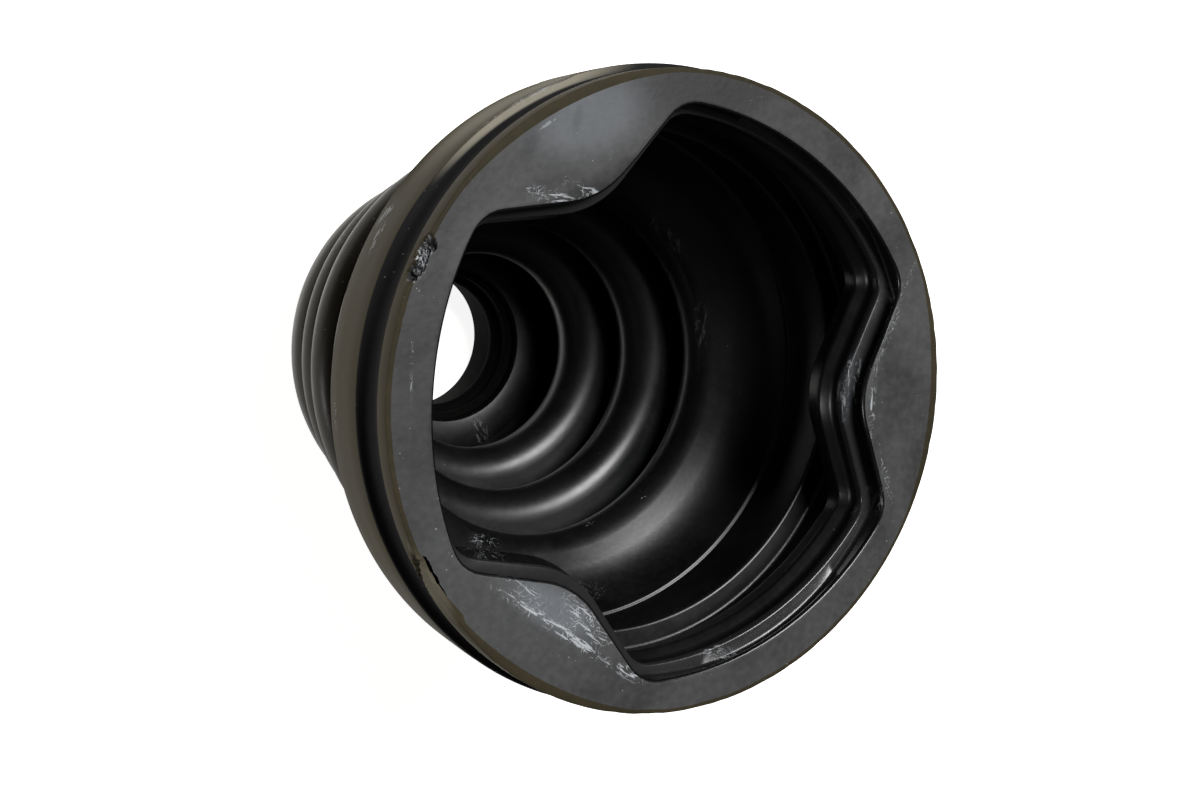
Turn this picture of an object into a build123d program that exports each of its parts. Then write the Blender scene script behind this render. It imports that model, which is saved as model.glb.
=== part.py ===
from build123d import *

import os
from math import acos, atan2, copysign, cos, degrees, hypot, radians, sin

# Rubber bellows boot of an inner tripod joint, moulded in one piece.
# Millimetres. The axis is +Z, the small end's flat face is at z = 0 and the mouth points up.
# One of the three lobes of the mouth points along -X.

# --- Small end: neck, clamp seat and bore ---
bore_radius = 13.0
bore_mouth_radius = 13.9
bore_mouth_depth = 1.7
bore_mouth_chamfer = 0.3
grip_rib_radius = 11.6
grip_rib_width = 1.6
grip_rib_root_width = 3.2
grip_rib_height = 10.2
neck_bead_radius = 18.0
neck_bead_width = 2.6
neck_seat_radius = 16.4
neck_seat_width = 7.8
neck_shoulder_radius = 17.4
neck_corner = 0.6
neck_length = 13.1
shoulder_ring_radius = 19.9
shoulder_ring_rise = 1.1

# --- Folds ---
fold_wall = 2.2
fold_pitch = 12.4
fold_count = 3
first_crest_radius = 31.6
crest_step = 3.1
first_root_radius = 19.5
root_step = 5.65
crest_bend = 3.2
root_bend = 2.9
end_bend = 8.6

# --- Collar between the folds and the flange ---
collar_radius = 42.6
collar_bend = 15.3
collar_rise = 17.3
collar_length = 7.8
collar_foot_bend = 1.5

# --- Outside of the mouth: flange, clamp seat and lip ---
flange_rise = 4.5
flange_front_radius = 47.8
flange_width = 11.3
seat_radius = 45.8
seat_width = 5.2
seat_foot_bend = 1.4
lip_radius = 47.0
lip_width = 3.2
rim_corner = 0.7

# --- Three-lobed socket in the mouth; depths are measured down from the mouth face ---
lobe_count = 3
arc_radius = 47.9
arc_reach = 41.2
lobe_apex_radius = 31.4
lobe_half_angle = 67.7
lobe_tip_bend = 12.6
lobe_corner_bend = 6.2
edge_depth = 1.2
groove_depth = 3.0
groove_relief = 0.8
front_rib_depth = 4.6
front_rib_step = 1.7
wall_depth = 7.8
wall_step = 1.3
rear_rib_depth = 9.3
rear_rib_step = 2.4
lobe_depth = 12.0
lobe_back_step = 1.9

# --- Round chamber, ledge and recess behind the lobes ---
chamber_relief = 1.1
chamber_foot_bend = 0.8
ledge_rise = 1.9
ledge_width = 1.1
ledge_depth = 17.8
ledge_front_corner = 0.5
ledge_rear_corner = 0.4
recess_relief = 0.1
recess_step = 0.37
recess_bend = 0.3
recess_edge_bend = 0.4

# --- Heights that follow from these sizes ---
first_crest_height = neck_length + end_bend
last_root_height = first_crest_height + (fold_count - 0.5) * fold_pitch
collar_height = last_root_height + collar_rise
flange_height = collar_height + collar_length
seat_height = flange_height + flange_width
lip_height = seat_height + seat_width
mouth_height = lip_height + lip_width

# --- Radii and centres that follow from these sizes ---
flange_rear_radius = collar_radius + flange_rise
chamber_radius = arc_reach + chamber_relief
recess_radius = collar_radius - fold_wall + recess_relief
ledge_radius = recess_radius - ledge_rise
collar_centre = (collar_radius - collar_bend, collar_height)


def fold_bends():
    """Radius, height and outer bend of each crest and root in turn, ending with the collar's."""
    bends = []
    for fold in range(fold_count):
        crest = first_crest_radius + fold * crest_step - crest_bend
        root = first_root_radius + fold * root_step + root_bend
        height = first_crest_height + fold * fold_pitch
        bends.append((crest, height, crest_bend))
        bends.append((root, height + fold_pitch / 2, root_bend))
    bends.append((*collar_centre, collar_bend))
    return bends


def flank_angle(crest, root):
    """Angle of the normal of the straight flank that touches a crest bend and a root bend."""
    run = root[0] - crest[0]
    rise = root[1] - crest[1]
    opening = acos((crest[2] + root[2]) / hypot(run, rise))
    return degrees(atan2(rise, run) - copysign(opening, rise))


def on_circle(centre, radius, angle):
    """Point of a bend at an angle, in degrees from straight outwards."""
    return (centre[0] + radius * cos(radians(angle)), centre[1] + radius * sin(radians(angle)))


def draw_folds(depth, last_angle):
    """Draw one skin of the folds, this deep in the wall, from the lowest crest to the collar."""
    bends = fold_bends()
    start = 0.0
    for low, high in zip(bends, bends[1:]):
        rising = bends.index(low) % 2 == 0
        crest, root = (low, high) if rising else (high, low)
        crest_size = crest[2] - depth
        root_size = root[2] + depth
        angle = flank_angle(crest, root)
        Line(on_circle(crest, crest_size, angle), on_circle(root, root_size, angle + 180))
        if rising:
            CenterArc(crest[:2], crest_size, start, angle - start)
            start = angle + 180
        else:
            CenterArc(root[:2], root_size, start, angle + 180 - start)
            start = angle
    collar = bends[-1]
    CenterArc(collar[:2], collar[2] - depth, start, last_angle - start)


def draw_end_wall(depth):
    """Draw the wide bend under the lowest crest and return where it meets the flat end wall."""
    centre = (first_crest_radius - end_bend, first_crest_height)
    CenterArc(centre, end_bend - depth, -90, 90)
    return on_circle(centre, end_bend - depth, -90)


# The three-lobed outline: three shallow arcs, with a blunt wedge standing in between each two.
with BuildSketch() as socket_outline:
    arc_offset = arc_radius - arc_reach
    for side in range(lobe_count):
        with PolarLocations(arc_offset, 1, start_angle=180 + side * 360 / lobe_count):
            Circle(arc_radius, mode=Mode.ADD if side == 0 else Mode.INTERSECT)
    wedge_length = arc_radius - lobe_apex_radius
    wedge_half_width = wedge_length * sin(radians(lobe_half_angle)) / cos(radians(lobe_half_angle))
    with PolarLocations(lobe_apex_radius, lobe_count, start_angle=180 / lobe_count):
        Polygon(
            (0, 0),
            (wedge_length, -wedge_half_width),
            (wedge_length, wedge_half_width),
            align=None,
            mode=Mode.SUBTRACT,
        )
    tips = socket_outline.vertices().sort_by(SortBy.DISTANCE)[:lobe_count]
    fillet(tips, lobe_tip_bend)
    corners = socket_outline.vertices().sort_by(SortBy.DISTANCE)[-2 * lobe_count :]
    fillet(corners, lobe_corner_bend)


with BuildPart() as bellows_boot:
    # Half section of everything that is round, turned about the axis.
    with BuildSketch(Plane.XZ):
        with BuildLine():
            # Outside, from the small end up to the mouth.
            wall_foot = draw_end_wall(0)
            neck_seat_top = neck_bead_width + neck_seat_width
            FilletPolyline(
                (bore_radius, 0),
                (neck_bead_radius, 0),
                (neck_bead_radius, neck_bead_width),
                (neck_seat_radius, neck_bead_width),
                (neck_seat_radius, neck_seat_top),
                (neck_shoulder_radius, neck_seat_top),
                (neck_shoulder_radius, neck_length),
                wall_foot,
                radius=neck_corner,
            )
            draw_folds(0, 0)
            FilletPolyline(
                (collar_radius, collar_height),
                (collar_radius, flange_height),
                (flange_rear_radius, flange_height),
                (flange_front_radius, seat_height),
                (seat_radius, seat_height),
                (seat_radius, lip_height),
                (lip_radius, lip_height),
                (lip_radius, mouth_height),
                (lobe_apex_radius - lobe_tip_bend, mouth_height),
                radius=[
                    collar_foot_bend,
                    rim_corner,
                    rim_corner,
                    seat_foot_bend,
                    seat_foot_bend / 2,
                    rim_corner,
                    rim_corner,
                ],
            )
            # Inside, from the mouth down past the ledge and the recess to the folds.
            lobe_back = mouth_height - lobe_depth
            ledge_top = mouth_height - ledge_depth
            ledge_foot = ledge_top - ledge_width
            edge_reach = collar_bend - fold_wall + recess_edge_bend
            edge_run = recess_radius - recess_step - collar_centre[0]
            edge_angle = -degrees(acos(edge_run / edge_reach))
            edge_centre = on_circle(collar_centre, edge_reach, edge_angle)
            recess_foot = edge_centre[1] + recess_edge_bend
            Polyline(
                (lobe_apex_radius - lobe_tip_bend, mouth_height),
                (lobe_apex_radius - lobe_tip_bend, lobe_back),
                (chamber_radius, lobe_back),
            )
            FilletPolyline(
                (chamber_radius, lobe_back),
                (chamber_radius, ledge_top),
                (ledge_radius, ledge_top),
                (ledge_radius, ledge_foot),
                (recess_radius, ledge_foot),
                (recess_radius, recess_foot),
                (edge_centre[0], recess_foot),
                radius=[
                    chamber_foot_bend,
                    ledge_front_corner,
                    ledge_rear_corner,
                    recess_bend,
                    recess_bend,
                ],
            )
            CenterArc(edge_centre, recess_edge_bend, 90, 90 + edge_angle)
            draw_folds(fold_wall, edge_angle)
            # Inside of the small end: end wall, raised ring and bore with its grip rib.
            floor = draw_end_wall(fold_wall)
            ring_top = neck_length + fold_wall + shoulder_ring_rise
            bore_step = ring_top - bore_mouth_depth
            Polyline(
                floor,
                (shoulder_ring_radius, neck_length + fold_wall),
                (shoulder_ring_radius, ring_top),
                (bore_mouth_radius + bore_mouth_chamfer, ring_top),
                (bore_mouth_radius, ring_top - bore_mouth_chamfer),
                (bore_mouth_radius, bore_step),
                (bore_radius, bore_step - bore_mouth_chamfer),
                (bore_radius, grip_rib_height + grip_rib_root_width / 2),
                (grip_rib_radius, grip_rib_height + grip_rib_width / 2),
                (grip_rib_radius, grip_rib_height - grip_rib_width / 2),
                (bore_radius, grip_rib_height - grip_rib_root_width / 2),
                (bore_radius, 0),
            )
        make_face()
    revolve(axis=Axis.Z)

    # The socket is cut in steps from the mouth down, which leaves two ribs round its wall.
    socket_steps = [
        (edge_depth, 0),
        (groove_depth, groove_relief),
        (front_rib_depth, -front_rib_step),
        (wall_depth, -wall_step),
        (rear_rib_depth, -rear_rib_step),
        (lobe_depth, -lobe_back_step),
    ]
    top_depth = 0.0
    for bottom_depth, growth in socket_steps:
        with BuildSketch(Plane.XY.offset(mouth_height - bottom_depth)):
            add(socket_outline.sketch)
            if growth:
                offset(amount=growth)
        extrude(amount=bottom_depth - top_depth, mode=Mode.SUBTRACT)
        top_depth = bottom_depth

bellows_boot.part.label = "bellows_boot"

os.makedirs("parts", exist_ok=True)
export_step(bellows_boot.part, "parts/bellows_boot.step")
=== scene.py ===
from math import asin, atan2, ceil, cos, degrees, hypot, pi, radians, sin, sqrt

import bpy
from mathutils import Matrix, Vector, kdtree, noise


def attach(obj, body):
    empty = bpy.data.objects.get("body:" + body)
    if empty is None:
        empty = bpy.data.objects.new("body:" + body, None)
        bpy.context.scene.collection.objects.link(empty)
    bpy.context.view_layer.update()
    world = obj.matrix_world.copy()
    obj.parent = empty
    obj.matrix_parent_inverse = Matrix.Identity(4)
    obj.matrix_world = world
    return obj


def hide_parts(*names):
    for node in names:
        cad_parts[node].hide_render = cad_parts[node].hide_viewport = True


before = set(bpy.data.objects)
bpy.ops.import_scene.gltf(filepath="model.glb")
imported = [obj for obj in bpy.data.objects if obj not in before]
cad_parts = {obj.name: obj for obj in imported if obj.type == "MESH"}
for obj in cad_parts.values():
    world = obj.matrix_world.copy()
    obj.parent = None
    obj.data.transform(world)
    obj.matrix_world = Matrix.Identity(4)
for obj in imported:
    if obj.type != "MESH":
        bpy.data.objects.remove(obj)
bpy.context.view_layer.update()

scene = bpy.context.scene
scene.view_settings.view_transform = "Standard"
mm = 0.001

# --- Moulded boot: the section of its wall ---
# The boot is one piece of black rubber, moulded between a core and a split mould.
# Its section is a thread laid round pins, where each pin is one bend of the wall. A pin has its
# radius, height, bend and side, which is 1 where the thread turns left and -1 where it turns right.
fold_wall, fold_pitch, fold_count = 2.2, 12.4, 3
crest_bend, root_bend, end_bend, collar_bend = 3.2, 2.9, 8.6, 15.3
first_crest_radius, first_crest_height, crest_step = 31.6, 21.7, 3.1
first_root_radius, root_step = 19.5, 5.65
collar_radius, collar_height = 42.6, 70.0
flange_height, seat_height, lip_height, mouth_height = 77.8, 89.1, 94.3, 97.5
lip_radius, lip_bend = 47.0, 0.25
face_rings, face_ring_width = 11, 0.44
arc_reach, lobe_depth, chamber_radius = 41.2, 12.0, 42.3
edge_bend = 0.35
end_wall_height, ring_height = 13.1, 16.4
thread_sag = 0.035


def fold_pins(depth):
    """Pins of the folds for the skin this deep in the wall, from the small end to the collar."""
    pins = [(first_crest_radius - end_bend, first_crest_height, end_bend - depth, 1)]
    for fold in range(fold_count):
        height = first_crest_height + fold * fold_pitch
        crest = first_crest_radius + fold * crest_step - crest_bend
        root = first_root_radius + fold * root_step + root_bend
        pins.append((crest, height, crest_bend - depth, 1))
        pins.append((root, height + fold_pitch / 2, root_bend + depth, -1))
    pins.append((collar_radius - collar_bend, collar_height, collar_bend - depth, 1))
    return pins


def corner(radius, height, bend, across, along, side):
    """Pin that rounds the corner at this radius and height, standing off it both ways."""
    return (radius + across * bend, height + along * bend, bend, side)


def rib(growth, depth, bend, side, along=0):
    """Pin of the socket's wall, touching it this far out from the edge and this deep."""
    return (arc_reach + growth + side * bend, mouth_height - depth + along * bend, bend, side)


def lay_thread(pins, sag):
    """Points of the closed thread pulled tight round the pins, each with its pin's number."""
    headings = []
    for (ra, za, ba, sa), (rb, zb, bb, sb) in zip(pins, pins[1:] + pins[:1]):
        across, along = rb - ra, zb - za
        headings.append(atan2(along, across) - asin((sb * bb - sa * ba) / hypot(across, along)))
    points = []
    for number, (r, z, bend, side) in enumerate(pins):
        before, after = headings[number - 1], headings[number]
        turn = (after - before + pi) % (2 * pi) - pi
        steps = ceil(abs(turn) / sqrt(8 * sag / bend)) if bend > 0 else 0
        for step in range(steps + 1):
            heading = before + turn * step / max(steps, 1)
            points.append((r + side * bend * sin(heading), z - side * bend * cos(heading), number))
    return points


outside = [
    corner(18.0, 0.0, 0.6, -1, 1, 1),
    corner(18.0, 2.6, 0.6, -1, -1, 1),
    corner(16.4, 2.6, 0.6, 1, 1, -1),
    corner(16.4, 10.4, 0.45, 1, -1, -1),
    corner(17.4, 10.4, 0.45, -1, 1, 1),
    corner(17.4, end_wall_height, 0.6, 1, -1, -1),
    *fold_pins(0.0),
    corner(collar_radius, flange_height, 1.5, 1, -1, -1),
    corner(47.1, flange_height, 0.5, -1, 1, 1),
    (47.33, 81.6, 0.0, 1),
    (47.57, 85.3, 0.0, 1),
    corner(47.73, seat_height, 0.35, -1, -1, 1),
    corner(45.8, seat_height, 1.4, 1, 1, -1),
    corner(45.8, lip_height, 0.7, 1, -1, -1),
    corner(lip_radius, lip_height, 0.5, -1, 1, 1),
    (lip_radius, 95.9, 0.0, 1),
    corner(lip_radius, mouth_height, lip_bend, -1, -1, 1),
]
face = [(46.3 - ring * face_ring_width, mouth_height, 0.0, 1) for ring in range(face_rings)]
socket_wall = [
    rib(0.0, 0.0, edge_bend, 1, -1),
    rib(0.0, 0.95, 0.3, 1, 1),
    rib(0.8, 3.1, 0.6, -1, 1),
    rib(-1.7, 3.1, 0.28, 1, -1),
    rib(-1.7, 4.5, 0.3, 1, 1),
    rib(-1.1, 6.2, 1.3, -1),
    rib(-2.4, 7.9, 0.28, 1, -1),
    rib(-2.4, 9.2, 0.3, 1, 1),
    rib(-1.9, 9.6, 0.2, -1, -1),
    rib(-1.9, lobe_depth, 0.5, 1, 1),
]
chamber = [
    corner(chamber_radius, mouth_height - lobe_depth, 0.4, -1, -1, -1),
    corner(chamber_radius, 79.7, 0.8, -1, 1, -1),
    corner(38.6, 79.7, 0.5, 1, -1, 1),
    corner(38.6, 78.6, 0.4, 1, 1, 1),
    corner(40.5, 78.6, 0.3, -1, -1, -1),
    corner(40.5, 66.2, 0.3, -1, 1, -1),
    (40.14, 65.8, 0.39, 1),
]
inside_folds = [(r, z, bend, -side) for r, z, bend, side in reversed(fold_pins(fold_wall))]
small_end = [
    (19.9, end_wall_height + fold_wall, 0.0, -1),
    corner(19.9, ring_height, 0.3, -1, -1, 1),
    corner(13.9, ring_height, 0.3, 1, -1, 1),
    (13.9, 14.7, 0.0, 1),
    (13.0, 14.4, 0.3, 1),
    (13.0, 11.8, 0.0, 1),
    (12.4, 10.5, 0.8, 1),
    (12.4, 9.9, 0.8, 1),
    (13.0, 8.6, 0.0, 1),
    corner(13.0, 0.0, 0.4, 1, 1, 1),
]
pins = outside + face + socket_wall + chamber + inside_folds + small_end
section = lay_thread(pins, thread_sag)

# --- Moulded boot: turning the wall round the axis ---
# The section is turned once round the axis, which gives the folds, the flange and the ribs.
# The core leaves a blacker, glossier skin inside, and the mouth face gathers grey dust.
turns = 240
skin_names = ["mould side", "mouth face", "core side", "bore", "torn"]

bpy.ops.object.select_all(action="DESELECT")
bpy.ops.mesh.primitive_circle_add(vertices=len(section), radius=0.05)
boot = bpy.context.object
boot.name = "moulded_boot"
for vertex, (radius, height, _) in zip(boot.data.vertices, section):
    vertex.co = (radius * mm, 0, height * mm)
bpy.ops.object.mode_set(mode="EDIT")
bpy.ops.mesh.select_all(action="SELECT")
bpy.ops.mesh.spin(steps=turns, angle=2 * pi, center=(0, 0, 0), axis=(0, 0, 1))
bpy.ops.mesh.select_all(action="SELECT")
bpy.ops.mesh.remove_doubles(threshold=1e-6)
bpy.ops.mesh.normals_make_consistent(inside=False)
bpy.ops.object.mode_set(mode="OBJECT")

skins = {}
for skin in skin_names:
    skins[skin] = bpy.data.materials.new("black rubber, " + skin)
    skins[skin].use_nodes = True
    boot.data.materials.append(skins[skin])

face_start = len(outside)
core_start = face_start + len(face)
bore_start = pins.index(small_end[2])
nearest = kdtree.KDTree(len(section))
for index, (radius, height, _) in enumerate(section):
    nearest.insert((radius, height, 0), index)
nearest.balance()
pin_numbers = []
for vertex in boot.data.vertices:
    x, y, height = vertex.co / mm
    pin_numbers.append(section[nearest.find((hypot(x, y), height, 0))[1]][2])
for polygon in boot.data.polygons:
    number = min(pin_numbers[vertex] for vertex in polygon.vertices)
    if number >= bore_start:
        skin = "bore"
    elif number >= core_start:
        skin = "core side"
    elif number >= face_start:
        skin = "mouth face"
    else:
        skin = "mould side"
    polygon.material_index = skin_names.index(skin)

# --- Moulded boot: the three lobes of the mouth ---
# The core that moulds the mouth has three wide arcs with a blunt lobe left between each two.
# Every ring of the socket's wall is pressed to that outline, and the face follows it.
arc_radius, lobe_apex, lobe_half = 47.9, 31.4, radians(67.7)
tip_bend, corner_bend = 12.6, 6.2
arc_sags = [(0, 1.2), (2 * pi / 3, 0.2), (-2 * pi / 3, 0.8)]
sagging_depth = 1.3
hair = 0.01
arc_centre = Vector((-cos(pi / 3), -sin(pi / 3))) * (arc_radius - arc_reach)
along_flank = Vector((cos(lobe_half), sin(lobe_half)))
off_flank = Vector((-sin(lobe_half), cos(lobe_half)))
tip_centre = Vector((lobe_apex + tip_bend / sin(lobe_half), 0))
corner_base = Vector((lobe_apex, 0)) + corner_bend * off_flank - arc_centre
corner_slide = sqrt(
    corner_base.dot(along_flank) ** 2 - corner_base.length_squared + (arc_radius - corner_bend) ** 2
) - corner_base.dot(along_flank)
corner_centre = corner_base + arc_centre + corner_slide * along_flank


def ray_to_circle(centre, radius, ray, far):
    """Length along a ray from the axis to the near or the far side of a circle."""
    middle = centre.dot(ray)
    half_chord = sqrt(max(middle * middle - centre.length_squared + radius * radius, 0))
    return middle + half_chord if far else middle - half_chord


def socket_radius(angle, growth):
    """Radius of the lobed outline, grown outwards by this much, at an angle round the axis."""
    turn = abs(angle % (2 * pi / 3) - pi / 3)
    ray = Vector((cos(turn), sin(turn)))
    tip_end = tip_centre + (tip_bend - growth) * off_flank
    corner_start = corner_centre - (corner_bend + growth) * off_flank
    corner_end = corner_centre + (corner_bend + growth) * (corner_centre - arc_centre).normalized()
    if turn < atan2(tip_end.y, tip_end.x):
        return ray_to_circle(tip_centre, tip_bend - growth, ray, False)
    if turn < atan2(corner_start.y, corner_start.x):
        return (growth + lobe_apex * sin(lobe_half)) / sin(lobe_half - turn)
    if turn < atan2(corner_end.y, corner_end.x):
        return ray_to_circle(corner_centre, corner_bend + growth, ray, True)
    return ray_to_circle(arc_centre, arc_radius + growth, ray, True)


def arc_sag(angle):
    """How far the soft edge of each wide arc has sagged inwards in its middle."""
    for middle, most in arc_sags:
        if cos(angle - middle) > 0.5:
            return most * max(cos(1.5 * (angle - middle)), 0) ** 2
    return 0


face_edge = lip_radius - lip_bend
wall_top = arc_reach + edge_bend
lobe_back = mouth_height - lobe_depth
for vertex in boot.data.vertices:
    x, y, height = vertex.co / mm
    radius, angle = hypot(x, y), atan2(y, x)
    pressed = radius
    if height > lobe_back - hair and radius < wall_top + hair:
        sag = arc_sag(angle) if height > mouth_height - sagging_depth else 0
        pressed = socket_radius(angle, radius - arc_reach - sag)
    elif height > mouth_height - hair and radius < face_edge:
        share = (face_edge - radius) / (face_edge - wall_top)
        edge = socket_radius(angle, edge_bend - arc_sag(angle))
        pressed = face_edge + share * (edge - face_edge)
    vertex.co = Vector((x, y, 0)) * mm * pressed / radius + Vector((0, 0, height * mm))

# --- Moulded boot: worn lobes and uneven rim ---
# The soft lobes have sunk towards their tips, each from a line across it. The lip is pulled in
# a little on one side, and trimming the flash has left its edge uneven.
# Each worn lobe: its angle, how far out the line is, the slope and half the width.
worn_lobes = [(60, 38.2, 0.15, 17), (-60, 34.6, 0.30, 11), (180, 33.6, 0.20, 9)]
worn_depth, most_worn, worn_side = 1.4, 1.0, 4
lip_inside, lip_edge = 46.2, 95.5
most_pull, pull_side = 0.6, radians(-128)
pull_height, pull_rise, pull_radius, pull_run = 90, 5, 42.5, 3.5
trimmed_size, trimmed_grain = 0.16, 0.55

for vertex in boot.data.vertices:
    x, y, height = vertex.co / mm
    radius, angle = hypot(x, y), atan2(y, x)
    if height > mouth_height - worn_depth and radius < lip_inside:
        sink = 0.0
        for lobe_angle, line, slope, half_width in worn_lobes:
            reach = x * cos(radians(lobe_angle)) + y * sin(radians(lobe_angle))
            aside = abs(y * cos(radians(lobe_angle)) - x * sin(radians(lobe_angle)))
            if 0 < reach < line and aside < half_width:
                sink += slope * (line - reach) * min(1, (half_width - aside) / worn_side)
        share = (height - mouth_height + worn_depth) / worn_depth
        vertex.co.z -= min(sink, most_worn) * mm * share
    if height > pull_height and radius > pull_radius:
        pull = most_pull * max(cos(angle - pull_side), 0) ** 3
        pull *= min((height - pull_height) / pull_rise, 1)
        pull *= min((radius - pull_radius) / pull_run, 1)
        if height > lip_edge and radius > lip_inside:
            bumps = noise.noise(Vector((x, y, height)) * trimmed_grain)
            pull += trimmed_size * max(bumps, 0)
        vertex.co.xy *= (radius - pull) / radius

# --- Moulded boot: nick, tear and flash ---
# The lip has a torn nick, and further round a ragged tear that runs down to the clamp seat.
# Past the tear its corner is skinned off. On the flange a skin of flash ends in a step.
nick_path = [(42.0, -20.0, 97.5), (42.9, -18.6, 97.1), (43.1, -17.4, 97.5), (44.1, -15.8, 97.0)]
tear_path = [(41.4, 22.2, 96.9), (40.9, 23.3, 96.2), (39.2, 25.9, 95.2), (37.6, 28.2, 93.6)]
nick_middle, nick_reach, nick_width = Vector((43.1, -17.8, 97.0)), 3.6, 1.15
nick_start, nick_end, nick_foot = -28, -16, 95
nick_slope, nick_hollow, nick_inwards, nick_down = 0.6, 1.5, 0.8, 0.6
nick_ragged, nick_grain, nick_rough = 0.5, 2.1, 1.6
tear_middle, tear_reach, tear_width = Vector((39.6, 25.4, 95.4)), 5.5, 2.6
tear_start, tear_end, torn_outside = 20, 40, 44
gash_width, gash_depth = 0.5, 1.3
flap_width, flap_outside, flap_rough, flap_set = 1.9, 45.5, 0.22, 0.05
skinned_start, skinned_end, skinned_rise, skinned_fade = 28.5, 52, 0.8, 9
skinned_foot, skinned_outside, skinned_depth, skinned_rough = 96.2, 46, 0.55, 0.25
flash_start, flash_end, flash_fade = -28, -69, 12
flash_foot, flash_outside, flash_skin = 0.3, 46.8, 0.22
coarse_grain, fine_grain, fine_share = 1.3, 3.1, 0.6
smooth_under = radians(50)


def along_path(point, path):
    """Distance of a point from a line through several places."""
    best = 99.0
    for start, end in zip(path, path[1:]):
        start, end = Vector(start), Vector(end)
        share = (point - start).dot(end - start) / (end - start).length_squared
        best = min(best, (point - start - (end - start) * min(max(share, 0), 1)).length)
    return best


bpy.ops.object.mode_set(mode="EDIT")
bpy.ops.mesh.select_mode(type="FACE")
bpy.ops.mesh.select_all(action="DESELECT")
bpy.ops.object.mode_set(mode="OBJECT")
for polygon in boot.data.polygons:
    middle = polygon.center / mm
    near_nick = (middle - nick_middle).length < nick_reach
    near_tear = (middle - tear_middle).length < tear_reach
    polygon.select = near_nick or near_tear and along_path(middle, tear_path) < tear_width
bpy.ops.object.mode_set(mode="EDIT")
bpy.ops.mesh.subdivide(number_cuts=3)
bpy.ops.object.mode_set(mode="OBJECT")

torn = set()
for vertex in boot.data.vertices:
    point = vertex.co / mm
    radius, angle = hypot(point.x, point.y), degrees(atan2(point.y, point.x))
    outward = Vector((point.x, point.y, 0)).normalized()
    rough = noise.noise(point * coarse_grain) + fine_share * noise.noise(point * fine_grain)
    if nick_start < angle < nick_end and radius > torn_outside and point.z > nick_foot:
        off = along_path(point, nick_path) + nick_ragged * noise.noise(point * nick_grain)
        if off < nick_width:
            hollow = min(nick_width - off, nick_slope) * (nick_hollow + nick_rough * rough)
            vertex.co -= (outward * nick_inwards + Vector((0, 0, nick_down))) * hollow * mm
            torn.add(vertex.index)
    if tear_start < angle < tear_end and radius > torn_outside:
        off = along_path(point, tear_path)
        if off < gash_width:
            vertex.co -= outward * gash_depth * (1 - off / gash_width) ** 0.5 * mm
            torn.add(vertex.index)
        elif off < flap_width and radius > flap_outside:
            vertex.co += outward * (flap_width - off) * (flap_rough * rough - flap_set) * mm
    if skinned_start < angle < skinned_end and radius > skinned_outside and point.z > skinned_foot:
        share = min(
            (angle - skinned_start) / skinned_rise, (skinned_end - angle) / skinned_fade, 1
        )
        share *= (point.z - skinned_foot) / (mouth_height - skinned_foot)
        vertex.co -= outward * (skinned_depth + skinned_rough * rough) * share * mm
    if flange_height + flash_foot < point.z < seat_height and radius > flash_outside:
        if flash_end < angle < flash_start:
            vertex.co -= outward * flash_skin * min((flash_start - angle) / flash_fade, 1) * mm

for polygon in boot.data.polygons:
    if torn.issuperset(polygon.vertices):
        polygon.material_index = skin_names.index("torn")

bpy.ops.object.select_all(action="DESELECT")
boot.select_set(True)
bpy.context.view_layer.objects.active = boot
bpy.ops.object.shade_smooth_by_angle(angle=smooth_under)

# --- Moulded boot: black rubber ---
# The rubber is black, with a cloudy bloom, pale dust specks, a fine moulded grain and white
# scuffs where the boot has been rubbed. Every skin of it shares these effects.
# The scales of all noise are per metre.
cloud_scale, cloud_share, haze_scale, haze_share = 62, 0.65, 900, 0.35
cloud_edges, haze_edges = (0.33, 0.68), (0.3, 0.75)
speck_scale, drift_scale, drift_reach, drift_gap, speck_edge = 900, 260, 0.55, 0.23, 0.05
grain_scale = 1100
streak_scale, streak_stretch = 340, (1.0, 6.0, 2.0)
loop_scale, loop_edges, loop_strength = 420, (0.004, 0.016), 0.78
patch_edges = (0.3, 1.0)
bare_bar, cover_drop, patch_lift, scuff_edge = 0.85, 0.35, 0.15, 0.07


def new_effect(name, inputs, output):
    """Start a node group that turns a place on the rubber into one mask."""
    group = bpy.data.node_groups.new(name, "ShaderNodeTree")
    for socket, kind in inputs:
        group.interface.new_socket(socket, in_out="INPUT", socket_type=kind)
    group.interface.new_socket(output, in_out="OUTPUT", socket_type="NodeSocketFloat")
    return group, group.nodes.new("NodeGroupInput"), group.nodes.new("NodeGroupOutput")


def reckon(tree, operation, first, second=None, third=None, clamp=False):
    """Math node with each input either linked or set."""
    node = tree.nodes.new("ShaderNodeMath")
    node.operation, node.use_clamp = operation, clamp
    for slot, value in enumerate((first, second, third)):
        if isinstance(value, (int, float)):
            node.inputs[slot].default_value = value
        elif value is not None:
            tree.links.new(value, node.inputs[slot])
    return node.outputs[0]


def ramp_between(tree, value, low, high):
    """Mask that rises from 0 at low to 1 at high."""
    node = tree.nodes.new("ShaderNodeMapRange")
    node.interpolation_type = "SMOOTHSTEP"
    tree.links.new(value, node.inputs["Value"])
    node.inputs["From Min"].default_value, node.inputs["From Max"].default_value = low, high
    return node.outputs["Result"]


def cloud_noise(tree, place, scale, detail=2.0, distortion=0.0):
    """Noise texture of this scale, per metre, at a place."""
    node = tree.nodes.new("ShaderNodeTexNoise")
    tree.links.new(place, node.inputs["Vector"])
    node.inputs["Scale"].default_value, node.inputs["Detail"].default_value = scale, detail
    node.inputs["Distortion"].default_value = distortion
    return node.outputs["Fac"]


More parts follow.
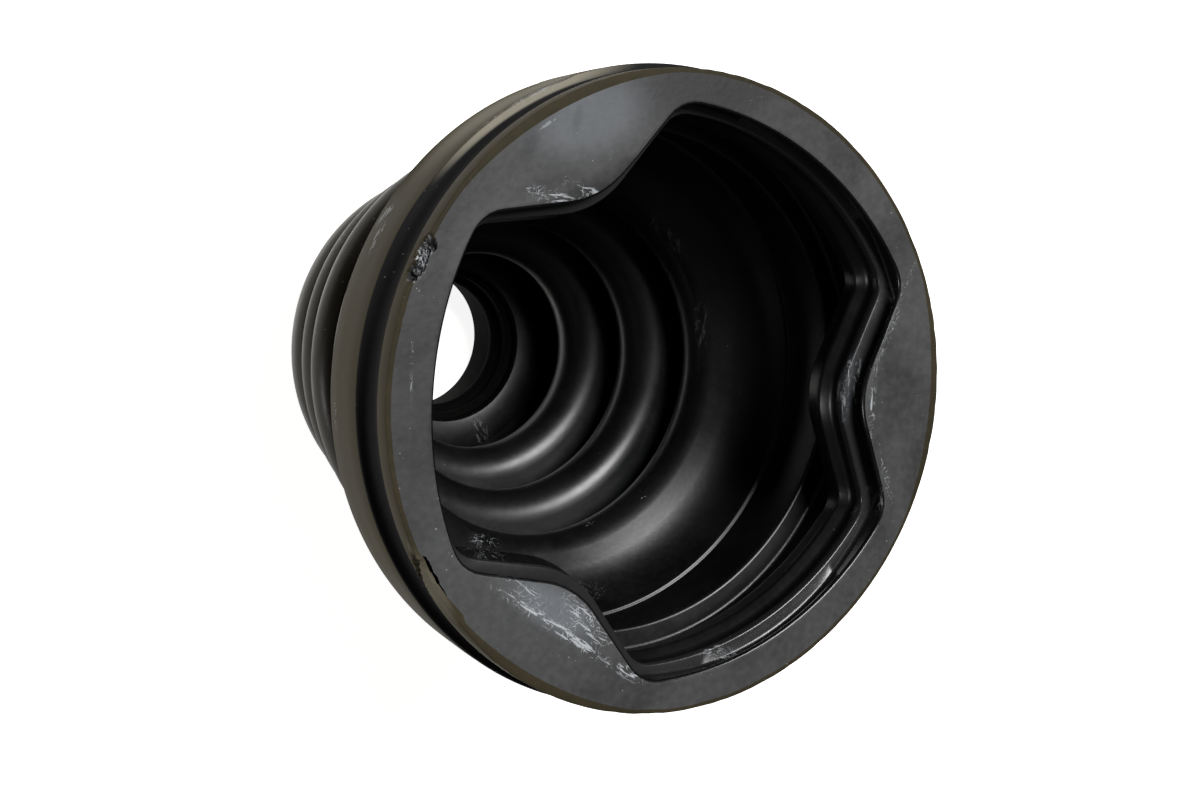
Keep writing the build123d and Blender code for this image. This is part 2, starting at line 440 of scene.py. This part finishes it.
clouds, given, made = new_effect("rubber bloom", [("Place", "NodeSocketVector")], "Bloom")
wide = cloud_noise(clouds, given.outputs["Place"], cloud_scale, 4, 0.8)
wide = reckon(clouds, "MULTIPLY", ramp_between(clouds, wide, *cloud_edges), cloud_share)
haze = cloud_noise(clouds, given.outputs["Place"], haze_scale, 4)
haze = ramp_between(clouds, haze, *haze_edges)
clouds.links.new(reckon(clouds, "MULTIPLY_ADD", haze, haze_share, wide), made.inputs[0])

specks, given, made = new_effect("dust specks", [("Place", "NodeSocketVector")], "Specks")
spots = specks.nodes.new("ShaderNodeTexVoronoi")
specks.links.new(given.outputs["Place"], spots.inputs["Vector"])
spots.inputs["Scale"].default_value = speck_scale
drifts = cloud_noise(specks, given.outputs["Place"], drift_scale, 3)
reach = reckon(specks, "MULTIPLY_ADD", drifts, drift_reach, -drift_gap)
near = reckon(specks, "SUBTRACT", reach, spots.outputs["Distance"])
specks.links.new(ramp_between(specks, near, 0.0, speck_edge), made.inputs[0])

moulding, given, made = new_effect("moulded grain", [("Place", "NodeSocketVector")], "Grain")
bumps = cloud_noise(moulding, given.outputs["Place"], grain_scale, 4)
moulding.links.new(bumps, made.inputs[0])

scratches, given, made = new_effect("scratch grain", [("Place", "NodeSocketVector")], "Scratches")
stretch = scratches.nodes.new("ShaderNodeMapping")
stretch.inputs["Scale"].default_value = streak_stretch
scratches.links.new(given.outputs["Place"], stretch.inputs["Vector"])
streaks = cloud_noise(scratches, stretch.outputs["Vector"], streak_scale, 7, 1.1)
loops = cloud_noise(scratches, given.outputs["Place"], loop_scale, 3, 1.4)
loops = reckon(scratches, "SUBTRACT", loops, 0.5)
line = ramp_between(scratches, reckon(scratches, "ABSOLUTE", loops), *loop_edges)
line = reckon(scratches, "MULTIPLY_ADD", line, -loop_strength, loop_strength)
scratches.links.new(reckon(scratches, "MAXIMUM", streaks, line), made.inputs[0])

patches, given, made = new_effect("soft patch", [("Place", "NodeSocketVector")], "Patch")
length = patches.nodes.new("ShaderNodeVectorMath")
length.operation = "LENGTH"
patches.links.new(given.outputs["Place"], length.inputs[0])
within = ramp_between(patches, length.outputs["Value"], *patch_edges)
patches.links.new(reckon(patches, "SUBTRACT", 1.0, within), made.inputs[0])

scuffs, given, made = new_effect(
    "white scuff",
    [(name, "NodeSocketFloat") for name in ("Patch", "Scratches", "Cover", "Strength")],
    "Scuff",
)
patch, strength = given.outputs["Patch"], given.outputs["Strength"]
bar = reckon(scuffs, "MULTIPLY_ADD", given.outputs["Cover"], -cover_drop, bare_bar)
over = reckon(scuffs, "MULTIPLY_ADD", patch, patch_lift, given.outputs["Scratches"])
over = reckon(scuffs, "SUBTRACT", over, bar)
rubbed = reckon(scuffs, "MULTIPLY", ramp_between(scuffs, over, 0.0, scuff_edge), patch)
scuffs.links.new(reckon(scuffs, "MULTIPLY", rubbed, strength), made.inputs[0])


def mark_place(tree, place, centre, turn, size):
    """Place measured from the middle of a mark, along it, across it and through the wall."""
    node = tree.nodes.new("ShaderNodeMapping")
    node.vector_type = "TEXTURE"
    node.inputs["Location"].default_value = [value * mm for value in centre]
    node.inputs["Rotation"].default_value = (0, 0, radians(turn))
    node.inputs["Scale"].default_value = [value * mm for value in size]
    tree.links.new(place, node.inputs["Vector"])
    return node.outputs["Vector"]


def height_band(tree, heights, rise, fall):
    """Mask of the heights between a rise and a fall, each given where it starts and ends."""
    up = ramp_between(tree, heights, rise[0] * mm, rise[1] * mm)
    down = ramp_between(tree, heights, fall[0] * mm, fall[1] * mm)
    return reckon(tree, "SUBTRACT", up, down)


def use_effect(tree, group, **settings):
    """Put a shared effect in a material, each input either linked or set, and return its mask."""
    node = tree.nodes.new("ShaderNodeGroup")
    node.node_tree = group
    for name, value in settings.items():
        if isinstance(value, float):
            node.inputs[name].default_value = value
        else:
            tree.links.new(value, node.inputs[name])
    return node.outputs[0]


def soft_patches(tree, place, marks):
    """One mask of several soft patches, each with its middle, turn, size and strength."""
    mask = None
    for centre, turn, size, strength in marks:
        patch = use_effect(tree, patches, Place=mark_place(tree, place, centre, turn, size))
        patch = reckon(tree, "MULTIPLY", patch, strength)
        mask = patch if mask is None else reckon(tree, "MAXIMUM", mask, patch)
    return mask


def blend_colour(tree, share, first, second):
    """Mix two colours, each linked or set, by a mask."""
    node = tree.nodes.new("ShaderNodeMix")
    node.data_type = "RGBA"
    tree.links.new(share, node.inputs["Factor"])
    for name, value in (("A", first), ("B", second)):
        socket = [s for s in node.inputs if s.name == name and s.type == "RGBA"][0]
        if isinstance(value, tuple):
            socket.default_value = (*value, 1)
        else:
            tree.links.new(value, socket)
    return [s for s in node.outputs if s.type == "RGBA"][0]


# Each scuff: middle, turn, size along, across and through the wall, cover, strength.
scuff_marks = {
    "mould side": [
        ((29.1, -18.9, 34.5), 57, (2.6, 1.6, 2.4), 0.45, 0.25),
        ((41.2, -23.1, 80.4), 60, (3.2, 2.0, 2.4), 0.55, 0.50),
        ((42.8, -20.3, 82.0), 64, (4.5, 1.8, 1.6), 0.50, 0.45),
        ((46.9, 5.2, 80.0), 94, (3.4, 1.4, 1.6), 0.35, 0.40),
        ((24.0, -41.0, 88.3), 30, (16.0, 3.0, 1.2), 0.45, 0.55),
    ],
    "mouth face": [
        ((18.4, 33.5, 97.0), -31.5, (18.0, 1.4, 2.0), 0.52, 0.85),
        ((14.0, 32.5, 97.0), -36, (9.0, 4.4, 2.0), 0.45, 0.70),
        ((24.5, 27.5, 97.0), -30, (6.5, 2.0, 2.0), 0.45, 0.65),
        ((6.4, 40.5, 97.0), -28, (5.0, 1.4, 2.0), 0.60, 0.85),
        ((21.0, -26.4, 97.0), -13, (12.0, 1.7, 2.0), 0.50, 0.80),
        ((17.6, -28.0, 97.0), -14, (7.0, 1.2, 2.0), 0.55, 0.80),
        ((-34.1, 2.0, 97.3), 90, (13.0, 0.9, 1.2), 0.42, 0.70),
        ((-36.4, -10.5, 97.3), 70, (7.0, 1.0, 1.2), 0.36, 0.60),
        ((-38.0, 12.5, 97.3), 112, (6.0, 0.8, 1.2), 0.36, 0.60),
        ((43.5, -3.4, 97.5), 92, (6.0, 0.4, 1.0), 0.45, 0.40),
        ((-38.4, -17.5, 97.5), 62, (7.5, 0.7, 1.0), 0.36, 0.50),
        ((26.0, -36.5, 97.5), 35, (5.0, 0.4, 1.0), 0.40, 0.35),
    ],
    "bore": [
        ((-7.6, 16.0, 16.2), 118, (5.0, 2.6, 1.4), 0.42, 0.22),
    ],
    "core side": [
        ((-31.4, -1.5, 94.0), 90, (9.0, 1.3, 1.0), 0.55, 0.55),
        ((-33.3, -2.0, 94.6), 90, (6.0, 1.4, 1.4), 0.38, 0.45),
        ((22.0, 29.0, 96.3), -31, (14.0, 2.0, 1.2), 0.50, 0.60),
        ((26.5, 25.0, 90.0), -31, (6.0, 3.0, 4.0), 0.30, 0.30),
        ((-12.5, 39.8, 94.4), 165, (10.5, 1.6, 1.2), 0.40, 0.60),
        ((-17.2, -36.2, 92.2), 25, (4.5, 1.0, 1.0), 0.50, 0.55),
        ((-37.8, 16.1, 96.6), 100, (8.0, 1.0, 1.2), 0.40, 0.40),
        ((-20.0, -23.2, 56.8), -45, (9.0, 2.4, 2.4), 0.45, 0.13),
        ((-28.6, -7.0, 56.2), 93, (9.5, 1.8, 2.4), 0.45, 0.13),
        ((-11.0, 27.0, 53.6), 160, (6.5, 1.2, 1.2), 0.45, 0.50),
        ((-19.6, 22.1, 55.6), 138, (2.4, 0.7, 0.8), 0.55, 0.45),
        ((10.4, 28.5, 56.5), 10, (5.5, 2.4, 1.6), 0.38, 0.50),
        ((-7.6, 16.0, 16.2), 118, (5.0, 2.6, 1.4), 0.42, 0.22),
        ((-2.0, 37.0, 61.0), 170, (16.0, 4.0, 3.0), 0.25, 0.35),
    ],
    "torn": [
        ((43.0, -18.0, 96.5), -63, (4.0, 2.6, 3.0), 0.50, 0.55),
    ],
}
# Each pale or dark patch: middle, turn, size along, across and through the wall, strength.
# On the mould side the second and third patch are painted highlights, along the flange's front
# corner and over the flange's top; on the mouth face the second is a painted highlight of the upper
# lamp. The other pale patches are rubbed or skinned wear.
pale_patches = {
    "mould side": [
        ((38.3, 26.9, 96.8), -57, (9.0, 1.8, 1.6), 0.22),
        ((24.5, -39.8, 89.05), 31, (24.0, 6.0, 0.35), 0.50),
        ((23.0, -41.5, 82.5), 31, (24.0, 12.0, 7.5), 0.22),
    ],
    "mouth face": [
        ((19.5, 30.4, 97.0), -29, (10.5, 4.2, 2.0), 0.19),
        ((19.0, -38.5, 97.5), 20, (13.0, 7.0, 2.0), 0.14),
        ((38.3, 26.9, 97.2), -57, (9.0, 1.5, 2.0), 0.22),
    ],
    "core side": [((-31.6, -1.5, 94.0), 90, (8.0, 1.6, 1.0), 0.05)],
}
# The first dark patch, along the upper rim of the mouth face, is painted shade beside the lamp's
# painted highlight; the others darken the face in streaks and bands.
dark_patches = {
    "mouth face": [
        ((0.5, -44.0, 97.0), 5, (19.0, 7.5, 2.0), 0.75),
        ((27.7, -34.7, 97.0), 74, (5.0, 1.8, 2.0), 0.60),
        ((20.9, -37.9, 97.0), 77, (3.0, 1.0, 2.0), 0.65),
        ((25.5, -28.6, 97.0), 20, (8.0, 1.8, 2.0), 0.45),
        ((43.5, 5.0, 97.0), 90, (26.0, 6.0, 2.0), 0.30),
    ],
}
# Colours of the pale patches, for pale wear and painted highlights.
pale_and_highlight_colours = {
    "mould side": (0.40, 0.37, 0.29),
    "mouth face": (0.37, 0.41, 0.46),
    "core side": (0.36, 0.40, 0.46),
}
fold_shade_black, seat_shade_black = (0.013, 0.011, 0.0075), (0.0035, 0.0035, 0.0042)
rib_grey, stain_and_shade_black = (0.016, 0.016, 0.017), (0.006, 0.006, 0.007)
speck_grey, scuff_white = (0.34, 0.34, 0.33), (0.42, 0.44, 0.46)
scratch_turn_step = 30
fold_top, dull_from = 64.0, 70.0
seat_rise = (seat_height - 0.3, seat_height - 0.1)
seat_fall = (seat_height + 1.5, lip_height + 0.8)
rib_rise, rib_fall = (92.5, 93.0), (94.4, 94.9)
polish_start, polish_end = 90.5, 92.5
bloom_matte, scuff_matte, fold_polish, rib_polish = 0.10, 0.25, -0.38, -0.08
grain_depth, grain_inside, grain_outside = 0.0001, 0.10, 0.35
# Each skin: dark and pale colour, roughness, share of dust specks and specular level.
skin_looks = {
    # The mould side's olive tint is a painted warm reflection of the table.
    "mould side": ((0.022, 0.0175, 0.009), (0.038, 0.031, 0.016), 0.70, 0.25, 0.16),
    "mouth face": ((0.019, 0.019, 0.0192), (0.054, 0.0545, 0.055), 0.52, 0.45, 0.45),
    "core side": ((0.0022, 0.0022, 0.0024), (0.0055, 0.0055, 0.0058), 0.30, 0.12, 0.50),
    "bore": ((0.0016, 0.0016, 0.0016), (0.0035, 0.0033, 0.0030), 0.76, 0.10, 0.04),
    "torn": ((0.005, 0.005, 0.0055), (0.045, 0.045, 0.050), 0.38, 0.40, 0.50),
}
for skin, (dark, pale, roughness, dust, shine) in skin_looks.items():
    tree = skins[skin].node_tree
    rubber = tree.nodes["Principled BSDF"]
    place = tree.nodes.new("ShaderNodeTexCoord").outputs["Object"]
    apart = tree.nodes.new("ShaderNodeSeparateXYZ")
    tree.links.new(place, apart.inputs[0])
    heights = apart.outputs["Z"]
    bloom = use_effect(tree, clouds, Place=place)
    speck = reckon(tree, "MULTIPLY", use_effect(tree, specks, Place=place), dust)
    grains = {}
    scuff = None
    for centre, turn, size, cover, strength in scuff_marks[skin]:
        lie = round(turn / scratch_turn_step) * scratch_turn_step % 180
        if lie not in grains:
            turned = mark_place(tree, place, (0, 0, 0), lie, (1000, 1000, 1000))
            grains[lie] = use_effect(tree, scratches, Place=turned)
        patch = use_effect(tree, patches, Place=mark_place(tree, place, centre, turn, size))
        mark = use_effect(
            tree, scuffs, Patch=patch, Scratches=grains[lie], Cover=cover, Strength=strength
        )
        scuff = mark if scuff is None else reckon(tree, "MAXIMUM", scuff, mark)
    colour = blend_colour(tree, bloom, dark, pale)
    rough = reckon(tree, "MULTIPLY_ADD", bloom, bloom_matte, roughness)
    rough = reckon(tree, "MULTIPLY_ADD", scuff, scuff_matte, rough, clamp=True)
    if skin == "mould side":
        # Below the flange the folds are painted darker, as painted shade between and under the
        # folds.
        above = ramp_between(tree, heights, fold_top * mm, dull_from * mm)
        folds = reckon(tree, "SUBTRACT", 1.0, above)
        colour = blend_colour(tree, folds, colour, fold_shade_black)
        rough = reckon(tree, "MULTIPLY_ADD", folds, fold_polish, rough)
        # The clamp seat is painted near black, fading towards the lip: painted shade in the groove.
        seat = height_band(tree, heights, seat_rise, seat_fall)
        colour = blend_colour(tree, seat, colour, seat_shade_black)
    if skin == "core side":
        front_rib = height_band(tree, heights, rib_rise, rib_fall)
        colour = blend_colour(tree, front_rib, colour, rib_grey)
        polished = ramp_between(tree, heights, polish_start * mm, polish_end * mm)
        rough = reckon(tree, "MULTIPLY_ADD", polished, rib_polish, rough)
    # Dark patches: painted shade on the mouth face, and darker streaks.
    if skin in dark_patches:
        dim = soft_patches(tree, place, dark_patches[skin])
        colour = blend_colour(tree, dim, colour, stain_and_shade_black)
    # Pale patches: pale wear, and painted highlights on the flange and the mouth face.
    if skin in pale_patches:
        pallor = soft_patches(tree, place, pale_patches[skin])
        colour = blend_colour(tree, pallor, colour, pale_and_highlight_colours[skin])
    colour = blend_colour(tree, speck, colour, speck_grey)
    colour = blend_colour(tree, scuff, colour, scuff_white)
    tree.links.new(colour, rubber.inputs["Base Color"])
    tree.links.new(rough, rubber.inputs["Roughness"])
    rubber.inputs["Specular IOR Level"].default_value = shine
    grain = tree.nodes.new("ShaderNodeBump")
    grain.inputs["Strength"].default_value = grain_inside if skin == "core side" else grain_outside
    grain.inputs["Distance"].default_value = grain_depth
    tree.links.new(use_effect(tree, moulding, Place=place), grain.inputs["Height"])
    tree.links.new(grain.outputs["Normal"], rubber.inputs["Normal"])

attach(boot, "root")
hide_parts("bellows_boot")

# --- Studio: pale table, lamps and camera ---
# The boot stands on its small end on a wide pale table. One large soft lamp lights it from
# above, and a small one from the side, low enough to catch the folds.
table_size = 60
camera_place = (0.14117, -0.02403, 0.31495)
camera_turn = (radians(-7.766), radians(-29.792), radians(-175.631))

bpy.ops.object.select_all(action="DESELECT")
bpy.ops.mesh.primitive_plane_add(size=table_size, location=(0, 0, 0))
table = bpy.context.object
table.name = "table"
pale = bpy.data.materials.new("pale table")
pale.use_nodes = True
table.data.materials.append(pale)
tree = pale.node_tree
surface = tree.nodes["Principled BSDF"]
surface.inputs["Base Color"].default_value = (0.8, 0.78, 0.72, 1)
surface.inputs["Roughness"].default_value = 0.9
surface.inputs["Emission Color"].default_value = (0.9, 0.9, 0.9, 1)
rays = tree.nodes.new("ShaderNodeLightPath").outputs
seen = reckon(tree, "MAXIMUM", rays["Is Camera Ray"], rays["Is Glossy Ray"])
seen = reckon(tree, "MAXIMUM", seen, rays["Is Transmission Ray"])
tree.links.new(seen, surface.inputs["Emission Strength"])

world = bpy.data.worlds.new("soft room")
scene.world = world
world.use_nodes = True
room = world.node_tree.nodes["Background"]
room.inputs["Color"].default_value = (1, 1, 1, 1)
room.inputs["Strength"].default_value = 0.05

# Each lamp: name, place, energy and width.
for name, place, energy, width in (
    ("upper lamp", Vector((-0.09, -0.42, 0.90)), 12, 0.45),
    ("side lamp", Vector((0.50, 0.18, 0.15)), 0.9, 0.10),
):
    towards = place.to_track_quat("Z", "Y").to_euler()
    bpy.ops.object.light_add(type="AREA", location=place, rotation=towards)
    lamp = bpy.context.object
    lamp.name = name
    lamp.data.energy = energy
    lamp.data.shape = "DISK"
    lamp.data.size = width

bpy.ops.object.camera_add(location=camera_place, rotation=camera_turn)
camera = bpy.context.object
camera.data.lens = 54
camera.data.sensor_width = 36
scene.camera = camera
